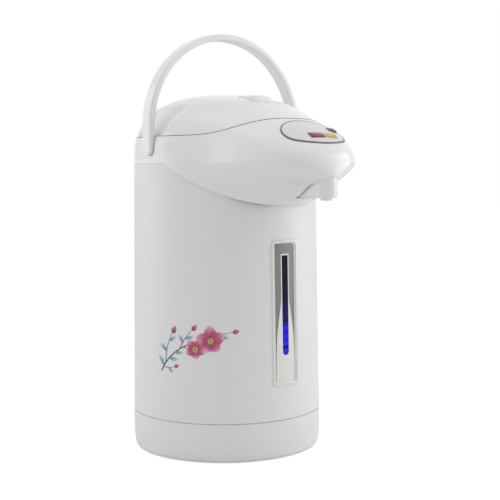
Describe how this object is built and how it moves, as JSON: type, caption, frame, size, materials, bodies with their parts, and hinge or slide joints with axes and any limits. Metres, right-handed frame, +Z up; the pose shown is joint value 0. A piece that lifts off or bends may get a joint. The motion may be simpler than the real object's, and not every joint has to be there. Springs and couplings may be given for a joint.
{
  "type": "electric thermo pot",
  "caption": "Electric thermo pot: tapered white casing with a water gauge, domed hinged lid, folding bail handle, push buttons on a beaked nose and a pump-fed nozzle.",
  "frame": {"origin": "centre of the resting face, on the pot's vertical axis", "axes": "+Z up, the nose and nozzle point along -Y, the bail swings about X"},
  "size_m": [0.1972, 0.2689, 0.4293],
  "materials": {
    "white_plastic": "glossy injection-moulded warm white",
    "casing_paint": "pearl white coat on steel sheet with a printed floral design",
    "white_matte": "plain white moulding",
    "black_rubber": "soft foot",
    "screw_steel": "bright zinc",
    "black_plastic": "heat-resistant black",
    "pin_brass": "turned",
    "clear_plastic": "clear moulding",
    "grey_print": "printed grey mask",
    "blue_plastic": "bright blue float",
    "silicone": "translucent white",
    "panel_grey": "satin light grey with a dark outline",
    "maroon_plastic": "maroon button",
    "olive_plastic": "olive yellow button",
    "dark_maroon_plastic": "dark maroon button",
    "circuit_board": "solder-masked laminate",
    "stainless": "deep-drawn, brushed",
    "heater_aluminium": "cast plate",
    "ceramic": "cream ceramic body",
    "mica_band": "mica sheet band",
    "felt": "white needled felt",
    "tray_steel": "galvanised sheet",
    "motor_steel": "drawn motor can"
  },
  "bodies": {
    "pot": {"base_ring": "white_plastic", "bottom_cover": "white_plastic", "foot_ring": "black_rubber", "base_screws": "screw_steel", "power_inlet": "black_plastic", "inlet_pins": "pin_brass", "body_shell": "casing_paint", "gauge_frame": "white_plastic", "gauge_lens": "clear_plastic", "gauge_mask": "grey_print", "gauge_backing": "white_matte", "sight_tube": "clear_plastic", "level_float": "blue_plastic", "collar": "white_plastic", "rear_hood": "white_plastic", "handle_pins": "screw_steel", "mouth_ring": "white_plastic", "housing_screws": "screw_steel", "spout_cover": "white_plastic", "nozzle": "white_matte", "spout_hose": "silicone", "hood_hinge_leaf": "white_matte", "hinge_pin": "screw_steel", "panel_plate": "panel_grey", "button_board": "circuit_board", "vessel": "stainless", "heater": "heater_aluminium", "heater_clamp": "heater_aluminium", "thermostat": "ceramic", "thermal_fuse": "ceramic", "warm_band": "mica_band", "insulation": "felt", "vessel_tray": "tray_steel", "pump_housing": "black_plastic", "pump_cover": "black_plastic", "pump_motor": "motor_steel", "inlet_hose": "silicone", "riser_hose": "silicone", "control_board": "circuit_board", "motor_bracket": "tray_steel"},
    "lid": {"lid_cover": "white_plastic", "inner_lid": "white_matte", "lid_gasket": "silicone", "steam_cap": "white_matte", "lid_screws": "screw_steel", "lid_hinge_leaf": "white_matte", "latch_pin": "screw_steel", "latch_tray": "white_matte", "latch_spring": "screw_steel"},
    "lid_lever": {"latch_lever": "white_plastic"},
    "bolt": {"latch_bolt": "screw_steel"},
    "bail": {"handle": "white_plastic"},
    "reboil_key": {"button_reboil": "maroon_plastic"},
    "pour_key": {"button_pour": "olive_plastic"},
    "lock_key": {"button_lock": "dark_maroon_plastic"},
    "rotor": {"impeller": "white_matte", "motor_shaft": "screw_steel"}
  },
  "joints": [
    {"name": "handle_fold", "type": "hinge", "parent": "pot", "child": "bail", "pos_m": [0, 0, 0.31], "axis": [1, 0, 0], "range_deg": [-90, 0]},
    {"name": "lid_open", "type": "hinge", "parent": "pot", "child": "lid", "pos_m": [0, 0.042, 0.355], "axis": [-1, 0, 0], "range_deg": [0, 38]},
    {"name": "lever_press", "type": "hinge", "parent": "lid", "child": "lid_lever", "pos_m": [0, -0.045, 0.3585], "axis": [-1, 0, 0], "range_deg": [-8, 0], "stiffness_Nm_per_rad": 0.1},
    {"name": "bolt_slide", "type": "slide", "parent": "lid", "child": "bolt", "axis": [0, 1, 0], "range_m": [0, 0.0035]},
    {"name": "reboil_press", "type": "slide", "parent": "pot", "child": "reboil_key", "axis": [0, 0.4695, -0.8829], "range_m": [0, 0.0015], "stiffness_N_per_m": 300},
    {"name": "pour_press", "type": "slide", "parent": "pot", "child": "pour_key", "axis": [0, 0.4695, -0.8829], "range_m": [0, 0.0015], "stiffness_N_per_m": 300},
    {"name": "lock_press", "type": "slide", "parent": "pot", "child": "lock_key", "axis": [0, 0.4695, -0.8829], "range_m": [0, 0.0015], "stiffness_N_per_m": 300},
    {"name": "pump_spin", "type": "hinge", "parent": "pot", "child": "rotor", "pos_m": [0, -0.055, 0.036], "axis": [0, 0, 1], "continuous": true}
  ],
  "couplings": [
    {"joint": "lever_press", "follows": "bolt_slide", "rad_per_m": -39.88}
  ]
}
